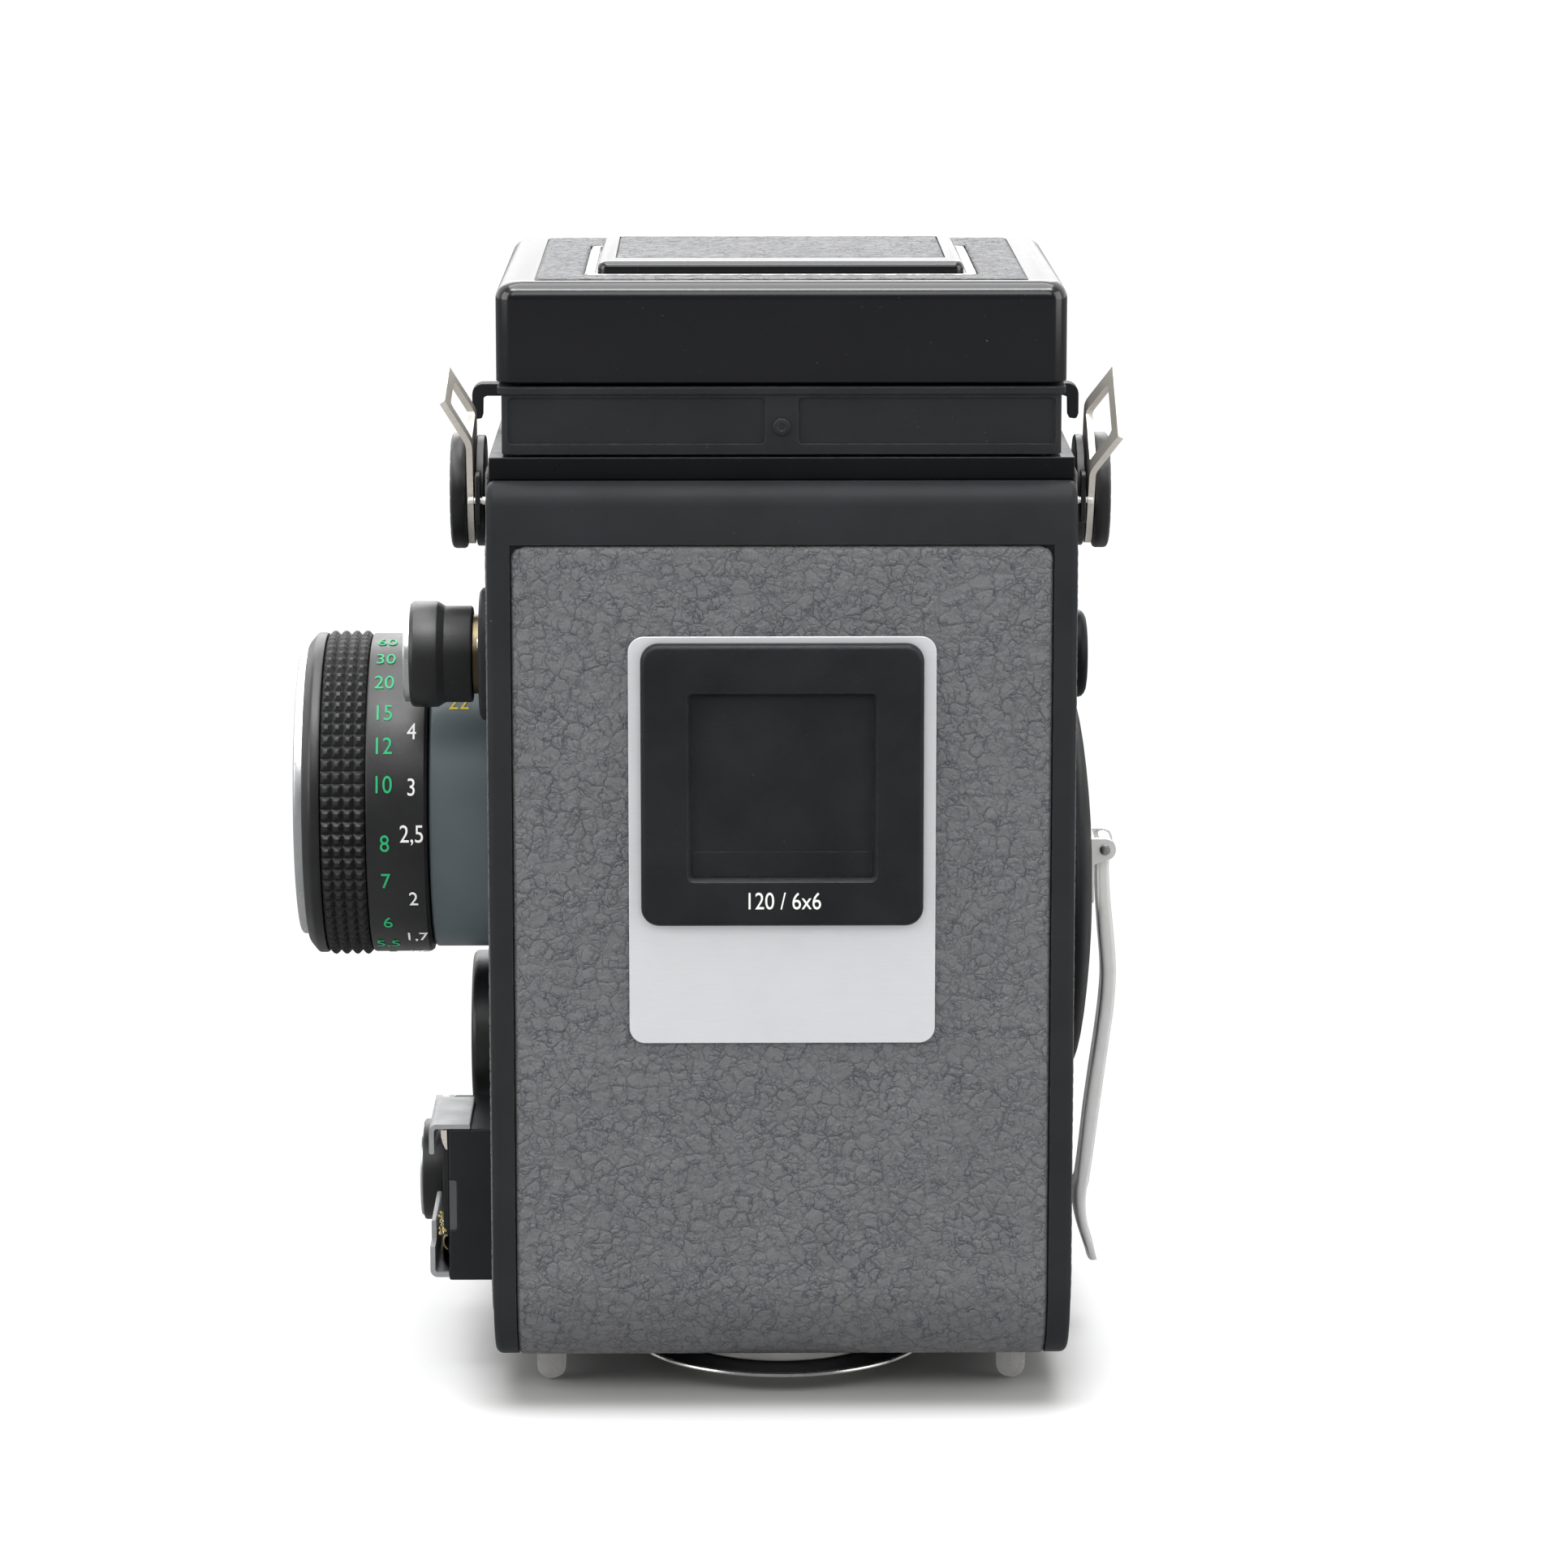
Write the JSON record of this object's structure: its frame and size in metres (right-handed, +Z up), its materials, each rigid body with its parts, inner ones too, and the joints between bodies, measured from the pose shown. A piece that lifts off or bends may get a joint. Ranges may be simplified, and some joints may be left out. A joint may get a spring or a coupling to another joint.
{
  "type": "twin_lens_reflex_camera",
  "caption": "Twin lens reflex film camera for 6x6 roll film, folded waist-level hood, hinged back, focusing knob on one side and folding winding crank on the other",
  "frame": {"origin": "centre of the bounding box footprint, at the bottom of the feet", "axes": "+Z up, the lenses face -Y, the focusing knob is on +X and the winding crank on -X"},
  "size_m": [0.109, 0.11, 0.1462],
  "materials": {
    "black_paint": "satin black enamel over metal",
    "black_matt": "matt blackened metal and plastic inside",
    "leather_grey": "pebbled grey leather covering",
    "rubber_grip": "diamond-ribbed black rubber",
    "blue_grey_enamel": "blue-grey enamel",
    "chrome": "bright chrome plate",
    "nickel": "warm satin nickel plate",
    "steel": "stainless steel",
    "aluminium": "fine brushed aluminium",
    "glass_optic": "coated optical glass",
    "screen_glass": "ground focusing glass",
    "mirror_silver": "front-surface mirror"
  },
  "bodies": {
    "body": {"body_casting": "black_paint", "reflex_mirror": "mirror_silver", "focusing_screen": "screen_glass", "side_leather_left": "leather_grey", "side_leather_right": "leather_grey", "depth_scale_collar": "blue_grey_enamel", "spool_knob_flange": "black_paint", "shoe_base": "black_paint", "shoe_rails": "steel", "strap_stud_left": "black_paint", "strap_stud_right": "black_paint", "crank_boss": "black_paint", "counter_cap": "black_paint", "hood_base": "black_paint"},
    "standard": {"front_standard": "black_paint", "viewing_lens_barrel": "black_paint", "viewing_lens_glass": "glass_optic", "taking_lens_barrel": "black_paint", "taking_lens_glass": "glass_optic", "sync_socket": "chrome"},
    "aperture_wheel": {"aperture_wheel": "black_paint"},
    "shutter_speed_wheel": {"shutter_speed_wheel": "black_paint"},
    "shutter_release": {"shutter_release": "chrome"},
    "focus_knob": {"focus_knob": "black_paint", "focus_grip": "rubber_grip"},
    "film_speed_dial": {"film_speed_dial": "aluminium"},
    "upper_knob": {"upper_spool_knob": "black_paint"},
    "lower_knob": {"lower_spool_knob": "black_paint"},
    "take_up": {"take_up_spool": "black_matt"},
    "supply": {"supply_spool": "black_matt"},
    "roller_upper": {"film_roller_upper": "steel"},
    "roller_lower": {"film_roller_lower": "steel"},
    "battery_cover": {"battery_cover": "black_paint"},
    "stirrup_left": {"strap_stirrup_left": "nickel"},
    "stirrup_right": {"strap_stirrup_right": "nickel"},
    "crank_hub": {"crank_hub": "chrome"},
    "crank_arm": {"crank_arm": "chrome"},
    "door": {"back_door": "black_paint", "back_leather": "leather_grey", "badge_plate": "aluminium", "memo_holder": "black_paint", "pressure_plate": "black_matt", "foot_1": "steel", "foot_2": "steel", "foot_3": "steel", "foot_4": "steel", "tripod_bush": "steel"},
    "latch": {"latch_ring": "black_paint"},
    "lid": {"hood_lid": "black_paint", "lid_leather": "leather_grey", "lid_frame": "chrome", "lid_flap": "black_paint"},
    "panel_rear": {"hood_panel_rear": "black_matt"},
    "panel_left": {"hood_panel_left": "black_matt"},
    "panel_right": {"hood_panel_right": "black_matt"},
    "magnifier": {"magnifier_arm": "black_matt", "magnifier_lens": "glass_optic"},
    "catch_left": {"hood_catch_left": "black_paint"},
    "catch_right": {"hood_catch_right": "black_paint"}
  },
  "joints": [
    {"name": "focus_turn", "type": "hinge", "parent": "body", "child": "focus_knob", "pos_m": [0.03635, 0.013, 0.0733], "axis": [1, 0, 0], "range_deg": [0, 300]},
    {"name": "standard_travel", "type": "slide", "parent": "body", "child": "standard", "axis": [0, -1, 0], "range_m": [0, 0.01]},
    {"name": "film_speed_turn", "type": "hinge", "parent": "focus_knob", "child": "film_speed_dial", "pos_m": [0.05285, 0.013, 0.0733], "axis": [1, 0, 0], "range_deg": [0, 300]},
    {"name": "aperture_turn", "type": "hinge", "parent": "standard", "child": "aperture_wheel", "pos_m": [0.01495, -0.0313, 0.074], "axis": [0, 1, 0], "range_deg": [0, 240]},
    {"name": "shutter_speed_turn", "type": "hinge", "parent": "standard", "child": "shutter_speed_wheel", "pos_m": [-0.03405, -0.0313, 0.074], "axis": [0, 1, 0], "range_deg": [0, 300]},
    {"name": "release_press", "type": "slide", "parent": "standard", "child": "shutter_release", "axis": [0, 1, 0], "range_m": [0, 0.003], "stiffness_N_per_m": 150},
    {"name": "upper_knob_pull", "type": "slide", "parent": "body", "child": "upper_knob", "axis": [1, 0, 0], "range_m": [0, 0.008]},
    {"name": "lower_knob_pull", "type": "slide", "parent": "body", "child": "lower_knob", "axis": [1, 0, 0], "range_m": [0, 0.008]},
    {"name": "crank_turn", "type": "hinge", "parent": "body", "child": "crank_hub", "pos_m": [-0.04955, 0.013, 0.0615], "axis": [-1, 0, 0], "range_deg": [0, 150]},
    {"name": "crank_unfold", "type": "hinge", "parent": "crank_hub", "child": "crank_arm", "pos_m": [-0.05285, 0.013, 0.0661], "axis": [0, 1, 0], "range_deg": [0, 95]},
    {"name": "take_up_turn", "type": "hinge", "parent": "body", "child": "take_up", "pos_m": [-0.00955, 0.037, 0.0958], "axis": [-1, 0, 0], "range_deg": [0, 180]},
    {"name": "supply_turn", "type": "hinge", "parent": "body", "child": "supply", "pos_m": [-0.00955, 0.005, 0.0195], "axis": [-1, 0, 0], "range_deg": [0, 150]},
    {"name": "roller_upper_turn", "type": "hinge", "parent": "body", "child": "roller_upper", "pos_m": [-0.00955, 0.0466, 0.0842], "axis": [1, 0, 0], "continuous": true},
    {"name": "roller_lower_turn", "type": "hinge", "parent": "body", "child": "roller_lower", "pos_m": [-0.00955, 0.0466, 0.0198], "axis": [1, 0, 0], "continuous": true},
    {"name": "battery_cover_turn", "type": "hinge", "parent": "body", "child": "battery_cover", "pos_m": [0.02745, 0.005, 0.0388], "axis": [1, 0, 0], "range_deg": [0, 90]},
    {"name": "stirrup_left_swivel", "type": "hinge", "parent": "body", "child": "stirrup_left", "pos_m": [0.02975, 0.025, 0.1154], "axis": [1, 0, 0], "range_deg": [-70, 31]},
    {"name": "stirrup_right_swivel", "type": "hinge", "parent": "body", "child": "stirrup_right", "pos_m": [-0.04885, 0.025, 0.1154], "axis": [1, 0, 0], "range_deg": [-68, 51]},
    {"name": "door_hinge", "type": "hinge", "parent": "body", "child": "door", "pos_m": [-0.00955, 0.0495, 0.1165], "axis": [1, 0, 0], "range_deg": [0, 110]},
    {"name": "latch_turn", "type": "hinge", "parent": "door", "child": "latch", "pos_m": [-0.00955, 0.028, 0.003], "axis": [0, 0, 1], "range_deg": [0, 90]},
    {"name": "lid_hinge", "type": "hinge", "parent": "body", "child": "lid", "pos_m": [-0.00955, -0.0188, 0.1315], "axis": [1, 0, 0], "range_deg": [0, 90]},
    {"name": "panel_rear_fold", "type": "hinge", "parent": "body", "child": "panel_rear", "pos_m": [-0.00955, 0.0433, 0.1289], "axis": [-1, 0, 0], "range_deg": [0, 90]},
    {"name": "panel_left_fold", "type": "hinge", "parent": "body", "child": "panel_left", "pos_m": [0.02265, 0.014, 0.1315], "axis": [0, 1, 0], "range_deg": [0, 90]},
    {"name": "panel_right_fold", "type": "hinge", "parent": "body", "child": "panel_right", "pos_m": [-0.04175, 0.014, 0.1315], "axis": [0, -1, 0], "range_deg": [0, 90]},
    {"name": "magnifier_swing", "type": "hinge", "parent": "lid", "child": "magnifier", "pos_m": [-0.00955, 0.01, 0.1412], "axis": [-1, 0, 0], "range_deg": [0, 90]},
    {"name": "catch_left_release", "type": "hinge", "parent": "body", "child": "catch_left", "pos_m": [0.02705, 0.0077, 0.1281], "axis": [0, -1, 0], "range_deg": [0, 12], "stiffness_Nm_per_rad": 0.05},
    {"name": "catch_right_release", "type": "hinge", "parent": "body", "child": "catch_right", "pos_m": [-0.04615, 0.0077, 0.1281], "axis": [0, 1, 0], "range_deg": [0, 12], "stiffness_Nm_per_rad": 0.05}
  ],
  "couplings": [
    {"joint": "focus_turn", "follows": "standard_travel", "rad_per_m": 520},
    {"joint": "take_up_turn", "follows": "crank_turn", "ratio": 1.2},
    {"joint": "supply_turn", "follows": "crank_turn", "ratio": 1},
    {"joint": "panel_rear_fold", "follows": "lid_hinge", "ratio": 1},
    {"joint": "panel_left_fold", "follows": "lid_hinge", "ratio": 1},
    {"joint": "panel_right_fold", "follows": "lid_hinge", "ratio": 1},
    {"joint": "magnifier_swing", "follows": "lid_hinge", "ratio": 1}
  ]
}
